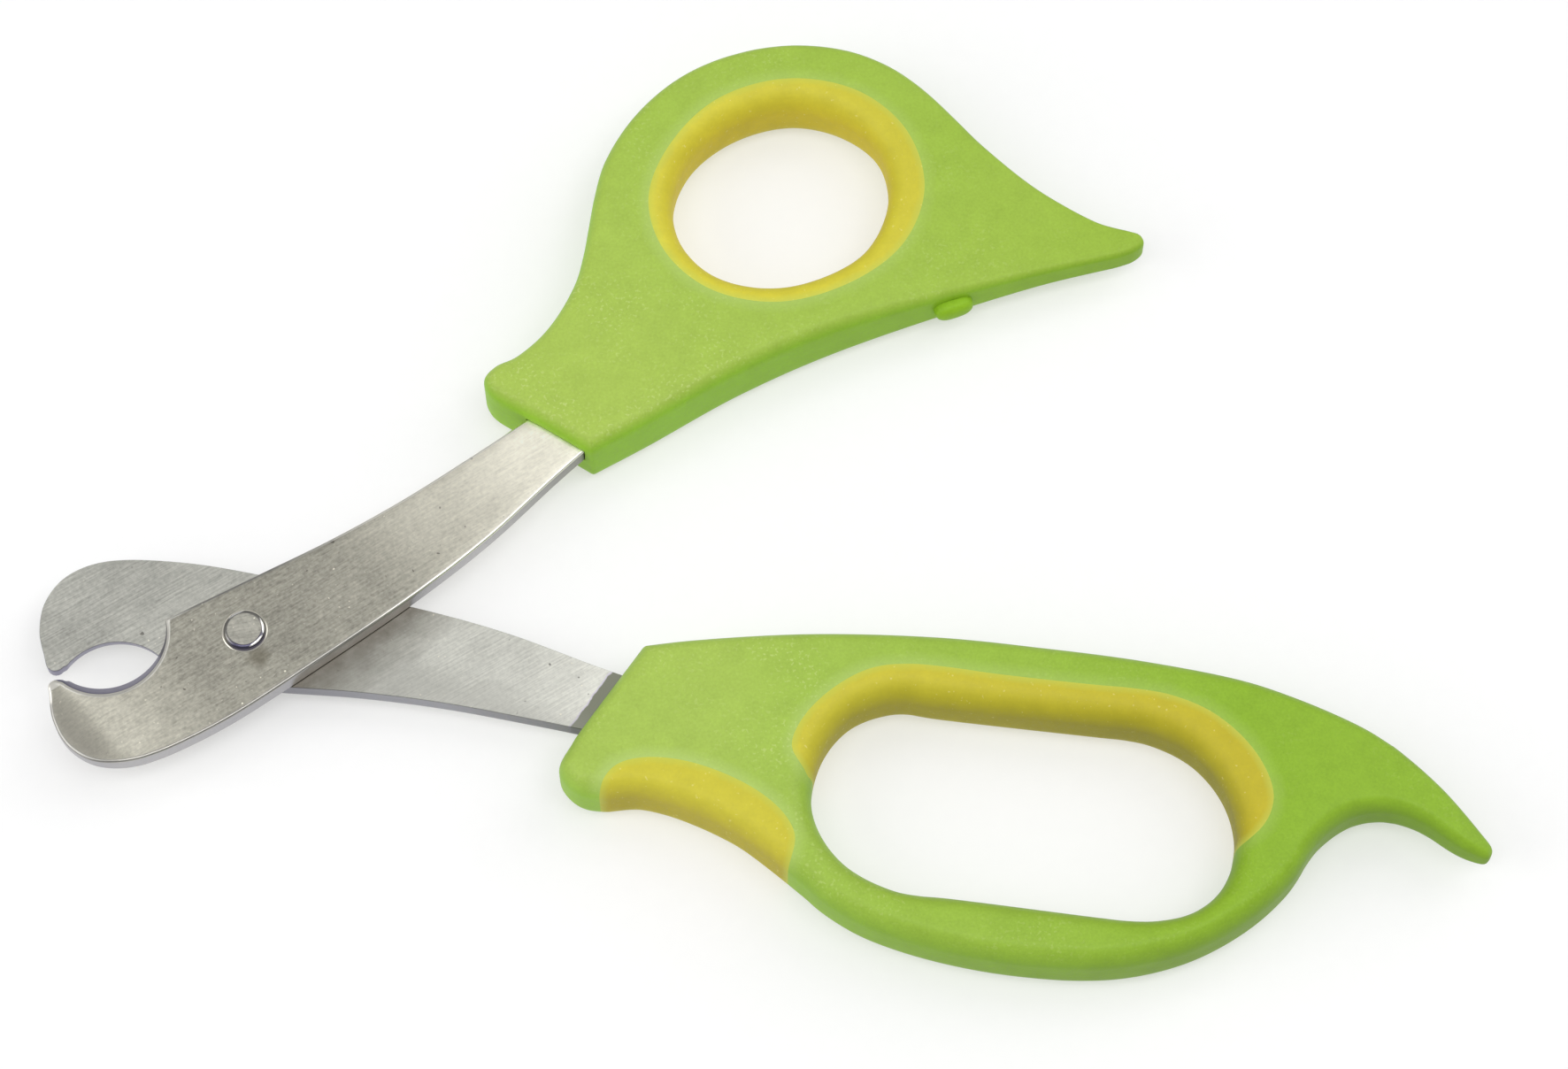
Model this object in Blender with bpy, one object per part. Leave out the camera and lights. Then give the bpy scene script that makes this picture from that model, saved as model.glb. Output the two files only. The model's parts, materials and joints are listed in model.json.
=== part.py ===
"""Pet nail trimmer: two mirror-image steel blades on one rivet, each with a moulded handle.

The trimmer lies flat, jaws towards -X, and the underside of both handles is the plane z = 0.
The origin is the centre of the whole object's footprint, on that plane.  Everything is drawn in
millimetres around the rivet's axis, converted to metres once, and placed by object location.
"""

import math

import bmesh
import bpy

MM = 0.001

# Where the rivet's axis stands, seen from the centre of the footprint.
PIVOT_X = -51.65
PIVOT_Y = -15.5

# Heights.  The blades lie face to face at the middle of the handles' thickness.
HANDLE_THICKNESS = 8.4
MIDDLE = HANDLE_THICKNESS / 2
BLADE_THICKNESS = 2.0
BLADE_FACE_GAP = 0.1
EDGE_BREAK = 0.2

# At rest the two halves are mirror images about a line this far above +X.
OPEN_BISECTOR_DEG = 12.0

# One blade, seen along the bisector with its jaw at -X and its tang at +X.
BACK_EDGE = [(-20.3, -2.6), (-20.4, -4.8), (-19.5, -7.9), (-17.2, -10.3), (-13.8, -11.3),
             (-9.5, -10.85), (-2.0, -8.5), (6.0, -5.0), (18.0, 0.6), (26.0, 5.0), (34.0, 10.3)]
FRONT_EDGE = [(32.0, 17.0), (26.0, 14.3), (18.0, 10.9), (10.0, 8.05), (2.5, 5.85)]
LAST_BEFORE_HOOK = (-2.5, 4.4)
NOTCH_RADIUS = 6.35
NOTCH_AT_CUTTING_EDGE = (-14.0, 3.9)
NOTCH_AT_OUTER_FACE = (-13.95, 2.45)
NOTCH_START_DEG = (223.5, 214.0)
NOTCH_END_DEG = (351.0, 364.5)
TIP_CENTRE_AT_EDGE = (-19.25, -1.5)
TIP_CENTRE_AT_FACE = (-19.65, -1.9)
TIP_RADIUS = (1.0, 0.65)
THUMB_BEVEL = 1.0
FINGER_BEVEL = 0.35

# The tang: the straight end of the blade that the handle is moulded round.
TANG_START = (34.7, 14.7)
TANG_ANGLE_DEG = 28.0
TANG_LENGTH = 13.0
TANG_WIDTH = 6.5
TANG_HOLES_AT = (4.5, 9.5)
TANG_HOLE_RADIUS = 1.6

# The rivet.
SHANK_RADIUS = 2.0
RIVET_HOLE_RADIUS = 2.08
RIVET_HEAD_RADIUS = 2.4
RIVET_HEAD_HEIGHT = 0.45
RIVET_TAIL_RADIUS = 3.25
RIVET_TAIL_HEIGHT = 0.9
RIVET_PLAY = 0.1

# Handles: outer edges are rounded by one quarter ellipse, finger holes by a larger one.
EDGE_ROUND = (1.3, 2.4)
HOLE_ROUND = (2.3, 3.2)
MOULD_GAP = 0.25
TONGUE_DEPTH = 0.6
TONGUE_HALF_HEIGHT = 1.0

# How finely a curve is cut into straight pieces.
MAX_TURN_DEG = 8.0
ROUND_STEPS = 4

THUMB_OUTLINE = [
    [(34.55, 19.2), (40.0, 22.35), (49.9, 28.4), (60.0, 33.15), (70.0, 36.5), (80.0, 39.9),
     (87.1, 41.75), (90.6, 42.8), (91.75, 43.9), (91.4, 44.8), (90.1, 45.3), (87.1, 46.2),
     (80.1, 50.6), (75.0, 55.2), (70.0, 60.55), (66.0, 63.8), (61.0, 65.9), (54.5, 66.4),
     (48.0, 65.0), (42.7, 62.2), (38.1, 57.5), (35.1, 51.75), (33.85, 45.0), (32.7, 38.9),
     (29.75, 33.15), (26.6, 30.0), (24.5, 28.9), (23.4, 27.5), (24.0, 25.8), (26.2, 24.2)],
    [(29.0, 22.7)],
]
THUMB_HOLE = [(42.6, 48.5), (44.5, 53.5), (49.0, 57.4), (55.0, 59.1), (60.5, 57.65),
              (64.2, 54.2), (65.1, 48.5), (62.5, 42.5), (57.0, 39.1), (52.0, 38.3),
              (46.9, 39.75), (43.5, 43.5)]
RING_SEAM = [(40.1, 47.5), (42.0, 53.5), (47.0, 59.2), (54.5, 61.8), (62.0, 60.6),
             (67.0, 56.3), (68.9, 49.6), (66.6, 42.9), (61.0, 38.1), (53.5, 35.7),
             (46.5, 37.2), (41.8, 41.6)]

FINGER_OUTLINE = [
    [(40.1, -1.7), (45.0, -1.1), (57.0, -0.4), (70.0, -0.8), (80.0, -1.9), (90.0, -3.3),
     (100.0, -5.4), (110.0, -9.3), (115.0, -12.3), (120.0, -17.1), (123.1, -21.0),
     (124.3, -22.8), (123.8, -23.75), (122.7, -23.55), (120.8, -22.6), (117.3, -20.15), (114.0, -19.1),
     (110.6, -19.65), (107.1, -22.25), (104.2, -26.5), (100.2, -30.2), (94.1, -33.6),
     (87.0, -35.3), (79.0, -35.2), (70.0, -33.7), (62.0, -31.0), (57.5, -28.1)],
    [(55.0, -25.65), (50.0, -21.8), (45.0, -19.15), (40.0, -17.6), (35.6, -17.8),
     (33.3, -17.0), (31.85, -14.9)],
    [(33.35, -11.6)],
]
FINGER_HOLE = [(56.95, -17.8), (58.1, -12.8), (61.0, -9.2), (65.5, -7.6), (69.5, -8.1),
               (86.0, -10.1), (90.4, -10.8), (94.8, -13.1), (97.85, -17.1), (98.85, -22.0),
               (97.3, -27.0), (94.3, -29.6), (90.0, -30.5), (85.0, -30.1), (70.0, -28.1),
               (65.5, -27.5), (60.6, -25.0), (57.85, -21.45)]
LOOP_SEAM = [(56.6, -15.9), (55.0, -13.2), (55.9, -10.4), (58.9, -7.1), (63.0, -4.8),
             (67.5, -4.4), (75.0, -5.4), (85.0, -6.6), (92.0, -7.5), (97.0, -9.7),
             (101.0, -13.9), (102.5, -18.3), (101.2, -21.6), (98.0, -23.4)]
LOOP_SEAM_INSIDE = [(92.0, -21.0), (66.0, -16.0), (60.0, -16.6)]
INDEX_SEAM = [(35.6, -19.4), (36.2, -16.9), (37.6, -15.1), (40.3, -14.3), (45.0, -14.8),
              (51.0, -17.4), (54.3, -20.3), (55.3, -22.7), (54.4, -25.9), (53.0, -28.0)]
INDEX_SEAM_OUTSIDE = [(44.0, -25.0)]

# The thumb handle thins towards its tail, and the finger handle only at the hook of its tail.
THUMB_TAPER = (50.0, 88.0, 0.43)
FINGER_TAPER = (100.0, 124.0, 0.62)

# The stop: a small pill on the thumb handle's inner edge, which lands on the finger handle.
STOP_CENTRE = (71.8, 37.15)
STOP_ANGLE_DEG = 20.0
STOP_HALF_SIZE = (2.1, 1.15, 1.25)


def clear_scene():
    """Remove whatever the start-up file put in the scene."""
    for old in list(bpy.data.objects):
        bpy.data.objects.remove(old, do_unlink=True)


def material(name, colour, roughness, metallic):
    """One Principled material."""
    made = bpy.data.materials.new(name)
    made.use_nodes = True
    shader = made.node_tree.nodes["Principled BSDF"]
    shader.inputs["Base Color"].default_value = (*colour, 1.0)
    shader.inputs["Roughness"].default_value = roughness
    shader.inputs["Metallic"].default_value = metallic
    made.diffuse_color = (*colour, 1.0)
    return made


def turned(point, degrees):
    """A point turned about the rivet's axis."""
    angle = math.radians(degrees)
    x, y = point
    return (x * math.cos(angle) - y * math.sin(angle), x * math.sin(angle) + y * math.cos(angle))


def blend(a, b, share):
    """The number or point that lies the given share of the way from a to b."""
    if isinstance(a, tuple):
        return tuple(blend(p, q, share) for p, q in zip(a, b))
    return a + (b - a) * share


def arc(centre, radius, start_deg, end_deg, steps):
    """Points along an arc, both ends included."""
    angles = [math.radians(blend(start_deg, end_deg, k / steps)) for k in range(steps + 1)]
    return [(centre[0] + radius * math.cos(a), centre[1] + radius * math.sin(a)) for a in angles]


def circle(centre, radius, steps=40):
    """A closed circle."""
    return arc(centre, radius, 0.0, 360.0, steps)[:-1]


def spline_piece(p0, p1, p2, p3, share):
    """A point between p1 and p2 on the centripetal Catmull-Rom curve through four points."""
    t0 = 0.0
    t1 = t0 + math.sqrt(math.dist(p0, p1))
    t2 = t1 + math.sqrt(math.dist(p1, p2))
    t3 = t2 + math.sqrt(math.dist(p2, p3))
    t = blend(t1, t2, share)
    a1 = blend(p0, p1, (t - t0) / (t1 - t0))
    a2 = blend(p1, p2, (t - t1) / (t2 - t1))
    a3 = blend(p2, p3, (t - t2) / (t3 - t2))
    b1 = blend(a1, a2, (t - t0) / (t2 - t0))
    b2 = blend(a2, a3, (t - t1) / (t3 - t1))
    return blend(b1, b2, (t - t1) / (t2 - t1))


def heading(a, b):
    """The direction from a to b, in degrees."""
    return math.degrees(math.atan2(b[1] - a[1], b[0] - a[0]))


def smooth_piece(p0, p1, p2, p3):
    """The curve from p1 up to but not including p2, with more points where it bends more."""
    near = 0.02
    first = heading(p1, spline_piece(p0, p1, p2, p3, near))
    middle = heading(spline_piece(p0, p1, p2, p3, 0.5), spline_piece(p0, p1, p2, p3, 0.5 + near))
    last = heading(spline_piece(p0, p1, p2, p3, 1.0 - near), p2)
    bend = abs((middle - first + 180) % 360 - 180) + abs((last - middle + 180) % 360 - 180)
    steps = max(1, math.ceil(bend / MAX_TURN_DEG))
    return [spline_piece(p0, p1, p2, p3, k / steps) for k in range(steps)]


def smooth_loop(points):
    """A smooth closed curve through the points."""
    count = len(points)
    curve = []
    for k in range(count):
        around = [points[(k + j) % count] for j in (-1, 0, 1, 2)]
        curve += smooth_piece(*around)
    return curve


def smooth_run(points, last):
    """A smooth curve through the points towards the corner called last, which is left out."""
    full = points + [last]
    if len(full) == 2:
        return [full[0]]
    before = blend(full[1], full[0], 2.0)
    after = blend(full[-2], full[-1], 2.0)
    padded = [before] + full + [after]
    curve = []
    for k in range(len(full) - 1):
        curve += smooth_piece(*padded[k:k + 4])
    return curve


def cornered_loop(runs):
    """A closed outline of smooth runs, with a corner where each run starts."""
    outline = []
    for k, run in enumerate(runs):
        outline += smooth_run(run, runs[(k + 1) % len(runs)][0])
    return outline


def area(points):
    """Signed area: positive when the loop runs anticlockwise."""
    shifted = points[1:] + points[:1]
    return sum(p[0] * q[1] - q[0] * p[1] for p, q in zip(points, shifted)) / 2


def with_material_on_left(points, is_hole=False):
    """The loop, run so that the solid is on its left."""
    anticlockwise = area(points) > 0
    return points if anticlockwise != is_hole else points[::-1]


def inset(points, distances):
    """Move each point of a loop into the solid on its left, mitred at the corners."""
    moved = []
    count = len(points)
    for k, here in enumerate(points):
        before, after = points[k - 1], points[(k + 1) % count]
        in_len, out_len = math.dist(before, here), math.dist(here, after)
        n1 = (-(here[1] - before[1]) / in_len, (here[0] - before[0]) / in_len)
        n2 = (-(after[1] - here[1]) / out_len, (after[0] - here[0]) / out_len)
        scale = distances[k] / max(0.3, 1 + n1[0] * n2[0] + n1[1] * n2[1])
        moved.append((here[0] + scale * (n1[0] + n2[0]), here[1] + scale * (n1[1] + n2[1])))
    return moved


def grown(points, distance):
    """A loop that encloses its area with the given margin."""
    loop = with_material_on_left(points)
    return inset(loop, [-distance] * len(loop))


def at_height(points, z):
    """The loop as 3-D points at one height."""
    return [(x, y, z) for x, y in points]


def taper_share(x, taper):
    """The share of the full thickness that a handle has at x."""
    if taper is None:
        return 1.0
    start, end, smallest = taper
    along = min(1.0, max(0.0, (x - start) / (end - start)))
    return 1.0 - (1.0 - smallest) * along * along * (3 - 2 * along)


def rounded_rows(points, rounding, taper=None, is_hole=False):
    """Rows of one wall from the underside to the top, with both its edges rounded."""
    loop = with_material_on_left(points, is_hole)
    width, height = rounding
    shares = [taper_share(x, taper) for x, _ in loop]
    quarter = [math.radians(90 * k / ROUND_STEPS) for k in range(ROUND_STEPS + 1)]
    profile = [(width * (1 - math.sin(a)), -MIDDLE + height * (1 - math.cos(a))) for a in quarter]
    profile += [(w, -z) for w, z in reversed(profile)]
    rows = []
    for w, z in profile:
        moved = inset(loop, [w * share for share in shares])
        rows.append([(x, y, MIDDLE + z * share) for (x, y), share in zip(moved, shares)])
    return rows


def solid(name, walls, finish=None):
    """A closed solid: walls of rows from bottom to top, and flat fills across both ends."""
    bm = bmesh.new()
    end_edges = ([], [])
    for rows in walls:
        rings = [[bm.verts.new([c * MM for c in point]) for point in row] for row in rows]
        count = len(rings[0])
        for low, high in zip(rings, rings[1:]):
            for k in range(count):
                after = (k + 1) % count
                bm.faces.new((low[k], low[after], high[after], high[k]))
        for edges, ring in zip(end_edges, (rings[0], rings[-1])):
            edges += [bm.edges.get((ring[k], ring[(k + 1) % count])) for k in range(count)]
    for edges in end_edges:
        bmesh.ops.triangle_fill(bm, edges=edges, use_beauty=True, normal=(0, 0, 1))
    bmesh.ops.recalc_face_normals(bm, faces=bm.faces)
    mesh = bpy.data.meshes.new(name)
    bm.to_mesh(mesh)
    bm.free()
    mesh.shade_smooth()
    mesh.set_sharp_from_angle(angle=math.radians(35))
    if finish:
        mesh.materials.append(finish)
    made = bpy.data.objects.new(name, mesh)
    made.location = (PIVOT_X * MM, PIVOT_Y * MM, 0.0)
    bpy.context.scene.collection.objects.link(made)
    return made


def combine(target, tool, operation):
    """Cut, join or trim the target with a hidden tool."""
    tool.hide_render = True
    tool.display_type = "WIRE"
    modifier = target.modifiers.new(tool.name, "BOOLEAN")
    modifier.operation = operation
    modifier.solver = "EXACT"
    modifier.object = tool


def tang_point(along, across):
    """A point on the tang, from where it enters the handle, in the blade's own frame."""
    x, y = turned((along, across), TANG_ANGLE_DEG)
    return (TANG_START[0] + x, TANG_START[1] + y)


def blade_outline(bevel):
    """The blade's outline at the cutting edge (bevel 0) or further up the notch's bevel."""
    centre = blend(NOTCH_AT_CUTTING_EDGE, NOTCH_AT_OUTER_FACE, bevel)
    start, end = blend(*NOTCH_START_DEG, bevel), blend(*NOTCH_END_DEG, bevel)
    notch = arc(centre, NOTCH_RADIUS, start, end, 26)
    tip_centre = blend(TIP_CENTRE_AT_EDGE, TIP_CENTRE_AT_FACE, bevel)
    tip = arc(tip_centre, blend(*TIP_RADIUS, bevel), 180.0, 45.0, 7)
    back_end = tang_point(TANG_LENGTH, -TANG_WIDTH / 2)
    front_end = tang_point(TANG_LENGTH, TANG_WIDTH / 2)
    back = smooth_run(BACK_EDGE + [tang_point(2.0, -TANG_WIDTH / 2)], back_end) + [back_end]
    front = smooth_run([front_end, tang_point(0.0, TANG_WIDTH / 2)] + FRONT_EDGE, LAST_BEFORE_HOOK)
    return tip[::-1] + back + front + [LAST_BEFORE_HOOK] + notch[:0:-1]


def placed(points, mirrored):
    """Blade points turned to their place about the rivet, mirrored for the finger half."""
    side = -1 if mirrored else 1
    return [turned((x, side * y), OPEN_BISECTOR_DEG) for x, y in points]


def tang_holes(radius):
    """The holes that the handle's pegs go through."""
    return [circle(tang_point(along, 0.0), radius, 24) for along in TANG_HOLES_AT]


def blade(name, mirrored, bevel, finish):
    """One stamped blade, with its notch ground at a slant from the outer face."""
    side = -1 if mirrored else 1
    near = MIDDLE + side * BLADE_FACE_GAP / 2
    break_share = 1 - EDGE_BREAK / BLADE_THICKNESS
    levels = [(0.0, 0.0), (break_share, 0.0), (1.0, EDGE_BREAK)]
    rows = []
    for share, edge in levels:
        outline = placed(blade_outline(bevel * share), mirrored)
        loop = with_material_on_left(outline)
        z = near + side * share * BLADE_THICKNESS
        rows.append(at_height(inset(loop, [edge] * len(loop)), z))
    walls = [rows]
    for hole in [circle((0.0, 0.0), RIVET_HOLE_RADIUS)] + tang_holes(TANG_HOLE_RADIUS):
        loop = placed(hole, mirrored)
        walls.append([at_height(loop, near + side * share * BLADE_THICKNESS)
                      for share in (0.0, 1.0)])
    return solid(name, walls, finish)


def tang_pocket(name, mirrored):
    """The tool that hollows a handle for its tang, and leaves a peg in each tang hole."""
    half = TANG_WIDTH / 2 + MOULD_GAP
    ends = [(-4.0, -half), (TANG_LENGTH + MOULD_GAP, -half), (TANG_LENGTH + MOULD_GAP, half),
            (-4.0, half)]
    side = -1 if mirrored else 1
    near = MIDDLE + side * BLADE_FACE_GAP / 2
    levels = [near - side * MOULD_GAP, near + side * (BLADE_THICKNESS + MOULD_GAP)]
    loops = [[tang_point(*end) for end in ends]] + tang_holes(TANG_HOLE_RADIUS - MOULD_GAP)
    walls = [[at_height(placed(loop, mirrored), z) for z in levels] for loop in loops]
    return solid(name, walls)


def grip_zone(name, seam, margin=0.0):
    """The space a grip is moulded in: its seam from top to bottom, and a tongue half-way up."""
    tall = MIDDLE + 1.0
    tongue_half = TONGUE_HALF_HEIGHT + margin
    plain = grown(seam, margin)
    tongue = grown(seam, margin + TONGUE_DEPTH)
    rows = [at_height(plain, MIDDLE - tall), at_height(plain, MIDDLE - tongue_half),
            at_height(tongue, MIDDLE - tongue_half), at_height(tongue, MIDDLE + tongue_half),
            at_height(plain, MIDDLE + tongue_half), at_height(plain, MIDDLE + tall)]
    return solid(name, [rows])


def handle_blank(name, runs, hole, taper, finish):
    """The full moulded shape of one handle and its grips, before they are told apart."""
    outer = rounded_rows(cornered_loop(runs), EDGE_ROUND, taper)
    inner = rounded_rows(smooth_loop(hole), HOLE_ROUND, taper, is_hole=True)
    return solid(name, [outer, inner], finish)


def stop_pill():
    """The small stop on the thumb handle's inner edge."""
    long, wide, tall = STOP_HALF_SIZE
    shape = [(math.sin(math.radians(a)), math.cos(math.radians(a))) for a in range(20, 180, 20)]
    rows = []
    for across, up in shape[::-1]:
        ring = []
        for x, y in circle((0.0, 0.0), 1.0, 24):
            squared = (abs(x) ** 3 + abs(y) ** 3) ** (-1 / 3)
            tx, ty = turned((x * squared * long * across, y * squared * wide * across),
                            STOP_ANGLE_DEG)
            ring.append((STOP_CENTRE[0] + tx, STOP_CENTRE[1] + ty, MIDDLE + up * tall))
        rows.append(ring)
    return solid("tool_stop_pill", [rows])


def rivet(finish):
    """The rivet: a wide low tail under the rear blade, a shank, and a chamfered button head."""
    under = MIDDLE - BLADE_FACE_GAP / 2 - BLADE_THICKNESS - RIVET_PLAY
    over = MIDDLE + BLADE_FACE_GAP / 2 + BLADE_THICKNESS + RIVET_PLAY
    tail, head, tall = RIVET_TAIL_RADIUS, RIVET_HEAD_RADIUS, RIVET_HEAD_HEIGHT
    profile = []
    for angle in range(30, 91, 20):
        turn = math.radians(angle)
        profile.append((tail * math.sin(turn), under - RIVET_TAIL_HEIGHT * math.cos(turn)))
    profile += [(tail, under), (SHANK_RADIUS, under), (SHANK_RADIUS, over), (head, over),
                (head, over + 0.4 * tall), (head - 0.15, over + 0.75 * tall),
                (head - 0.5, over + tall)]
    rows = [at_height(circle((0.0, 0.0), radius), z) for radius, z in profile]
    return solid("pivot_rivet", [rows], finish)


def thumb_half(green, yellow, steel):
    """The half that swings: blade, handle and ring grip."""
    handle = handle_blank("thumb_handle", THUMB_OUTLINE, THUMB_HOLE, THUMB_TAPER, green)
    ring = handle_blank("thumb_ring_grip", THUMB_OUTLINE, THUMB_HOLE, THUMB_TAPER, yellow)
    seam = smooth_loop(RING_SEAM)
    combine(ring, grip_zone("tool_ring", seam), "INTERSECT")
    combine(handle, stop_pill(), "UNION")
    combine(handle, grip_zone("tool_ring_seat", seam, MOULD_GAP), "DIFFERENCE")
    combine(handle, tang_pocket("tool_thumb_pocket", False), "DIFFERENCE")
    return [blade("thumb_blade", False, THUMB_BEVEL, steel), handle, ring]


def finger_half(green, yellow, steel):
    """The half that stays: blade, handle and its two grips."""
    blank = (FINGER_OUTLINE, FINGER_HOLE, FINGER_TAPER)
    handle = handle_blank("finger_handle", *blank, green)
    pieces = [blade("finger_blade", True, FINGER_BEVEL, steel), handle]
    combine(handle, tang_pocket("tool_finger_pocket", True), "DIFFERENCE")
    seams = {
        "finger_loop_grip": cornered_loop([LOOP_SEAM, LOOP_SEAM_INSIDE]),
        "index_rest_grip": cornered_loop([INDEX_SEAM, INDEX_SEAM_OUTSIDE]),
    }
    for name, seam in seams.items():
        grip = handle_blank(name, *blank, yellow)
        combine(grip, grip_zone("tool_" + name, seam), "INTERSECT")
        combine(handle, grip_zone("tool_seat_" + name, seam, MOULD_GAP), "DIFFERENCE")
        pieces.append(grip)
    return pieces


def keep_place_under(parent, pieces):
    """Hang pieces that already stand at the rivet under an empty on the rivet's axis."""
    for piece in pieces:
        piece.parent = parent
        piece.location = (0.0, 0.0, 0.0)


def main():
    clear_scene()
    green = material("green_polypropylene", (0.36, 0.56, 0.07), 0.45, 0.0)
    yellow = material("yellow_rubber", (0.68, 0.58, 0.05), 0.6, 0.0)
    steel = material("brushed_steel", (0.62, 0.61, 0.57), 0.35, 1.0)
    bright = material("rivet_steel", (0.66, 0.66, 0.62), 0.25, 1.0)
    finger_half(green, yellow, steel)
    rivet(bright)
    hinge = bpy.data.objects.new("blade_pivot", None)
    hinge.location = (PIVOT_X * MM, PIVOT_Y * MM, 0.0)
    bpy.context.scene.collection.objects.link(hinge)
    keep_place_under(hinge, thumb_half(green, yellow, steel))


main()
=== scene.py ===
"""Looks of the pet nail trimmer: fine visible meshes and materials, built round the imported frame.

Every outline is read off a CAD solid, sliced at a height.  Plan work is done in millimetres in
the row frame, and meshes are written in metres.
"""

import json
import math
from dataclasses import dataclass

import bmesh
import bpy
import numpy as np
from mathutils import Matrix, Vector, geometry


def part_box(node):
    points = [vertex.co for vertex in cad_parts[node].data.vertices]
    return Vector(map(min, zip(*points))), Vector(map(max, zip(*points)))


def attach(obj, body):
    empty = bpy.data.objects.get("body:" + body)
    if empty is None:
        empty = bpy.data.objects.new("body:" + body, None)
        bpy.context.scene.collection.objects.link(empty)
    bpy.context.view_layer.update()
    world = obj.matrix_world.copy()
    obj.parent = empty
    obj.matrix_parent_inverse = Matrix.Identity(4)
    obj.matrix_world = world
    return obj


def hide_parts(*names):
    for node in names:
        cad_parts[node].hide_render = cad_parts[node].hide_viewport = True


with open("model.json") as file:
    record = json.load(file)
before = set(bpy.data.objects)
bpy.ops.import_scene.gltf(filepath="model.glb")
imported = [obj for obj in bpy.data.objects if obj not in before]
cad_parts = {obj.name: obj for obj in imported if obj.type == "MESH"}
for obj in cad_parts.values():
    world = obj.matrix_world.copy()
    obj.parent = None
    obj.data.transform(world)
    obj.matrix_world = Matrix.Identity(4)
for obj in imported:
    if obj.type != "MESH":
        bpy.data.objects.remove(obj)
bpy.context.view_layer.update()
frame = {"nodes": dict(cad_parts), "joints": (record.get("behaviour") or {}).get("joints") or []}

MM = 0.001
HINGE = frame["joints"][0]
PIVOT = np.array(HINGE["pos_m"][:2]) / MM
MIDDLE = HINGE["pos_m"][2] / MM
HALF_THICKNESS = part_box("finger_handle")[1].z / MM - MIDDLE

# Vertices closer than WELD, in metres, or PLAN_WELD, in plan, are one vertex.
WELD = 1e-7
PLAN_WELD = 1e-5

# Heights at which the solids show their plain outlines: clear of tang pockets, grip tongues and
# rounded edges.
BELOW_THUMB_POCKET = MIDDLE - 0.3
ABOVE_TONGUES = MIDDLE + 1.35
SEAM_HEIGHT = MIDDLE + 2.3

# How an outline is made smooth: the turn that counts as a corner, how far from a moulding's
# corners their rounding starts, and the spacing of the points.  Smooth shading stops at SHARP_DEG.
CORNER_DEG = 25.0
FILLET = 0.4
OUTLINE_STEP = 0.5
SHARP_DEG = 38.0

# An offset point that lies nearer to its outline than this share of the offset has strayed.  The
# offset of a sharp point is held short by counting 1 + cos(turn) as no less than MITRE_LEAST.
STRAYED = 0.97
MITRE_LEAST = 0.3

# Edge roundings of the mouldings, (width, height), and the rows of points that carry one.
THUMB_ROUND = (1.3, 2.1)
FINGER_ROUND = (1.7, 2.9)
HOLE_ROUND = (2.3, 3.2)
ROUND_ROWS = 9

# Where each handle thins, to what share of its full thickness, (start x, end x, share) from the
# rivet, and where the finger handle's tail rounds off, up to this share of the way to nothing.
THUMB_TAPER = (50.0, 88.0, 0.43)
FINGER_TAPER = (100.0, 124.0, 0.62)
NOSE = (119.5, 124.9)
NOSE_MOST = 0.98

# Loose points over the flat faces: their spacing, the spacing of their rows as a share of it, and
# how far they keep from edges and grooves.
FILL_STEP = 1.3
ROW_SHARE = 0.866
EDGE_CLEARANCE = 0.4
SEAM_CLEARANCE = 0.5

# The parting groove where green meets yellow: half its width, its depth, and how far its line
# runs past the outline, so as to cut it.
GROOVE = (0.14, 0.035)
SEAM_OVERRUN = 1.2

# The stop pill on the thumb handle, from the rivet, and how far round it the CAD outline is left
# out.  Its plan is a superellipse, and its sides bulge more than an ellipsoid's.
STOP_CENTRE = (71.8, 37.15)
STOP_ANGLE_DEG = 20.0
STOP_HALF_SIZE = (2.1, 1.15, 1.25)
STOP_CLEARANCE = 0.6
STOP_SIDES = 48
STOP_ROWS = 21
STOP_POWER = 3
STOP_BULGE = 0.6

# The distance stored for vertices that are further from a seam than this.
FAR_AWAY = 6.0

# How many points are measured at a time, to keep the arrays small.
BLOCK = 2000


# ---- outlines from the CAD solids

def welded_copy(node):
    """A bmesh of a CAD node with its doubled vertices joined."""
    bm = bmesh.new()
    bm.from_mesh(frame["nodes"][node].data)
    bmesh.ops.remove_doubles(bm, verts=bm.verts, dist=WELD)
    return bm


def slice_loops(node, height):
    """The closed outlines, largest first, where a CAD node crosses a height."""
    bm = welded_copy(node)
    everything = bm.verts[:] + bm.edges[:] + bm.faces[:]
    bmesh.ops.bisect_plane(bm, geom=everything, dist=1e-9, plane_co=(0, 0, height * MM),
                           plane_no=(0, 0, 1), clear_inner=True, clear_outer=True)
    loops = chained([e.verts for e in bm.edges])
    bm.free()
    return [without_spare_points(loop) for loop in loops]


def rim_loops(node, height, near=0.01):
    """The closed rings of a CAD node's own vertices at a height, largest first."""
    bm = welded_copy(node)
    level = {v for v in bm.verts if abs(v.co.z / MM - height) < near}
    rims = []
    for edge in bm.edges:
        if all(v in level for v in edge.verts):
            if any(v not in level for face in edge.link_faces for v in face.verts):
                rims.append(edge.verts)
    loops = chained(rims)
    bm.free()
    return loops


def chained(edges):
    """Closed loops of plan points from loose edges, the one round the largest area first."""
    links = {}
    for a, b in edges:
        links.setdefault(a, []).append(b)
        links.setdefault(b, []).append(a)
    loops = []
    left = dict.fromkeys(links)
    while left:
        here = next(iter(left))
        chain = []
        while here is not None:
            del left[here]
            chain.append(here)
            here = next((v for v in links[here] if v in left), None)
        loops.append(np.array([v.co[:2] for v in chain]) / MM)
    return sorted(loops, key=lambda loop: -abs(signed_area(loop)))


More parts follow.
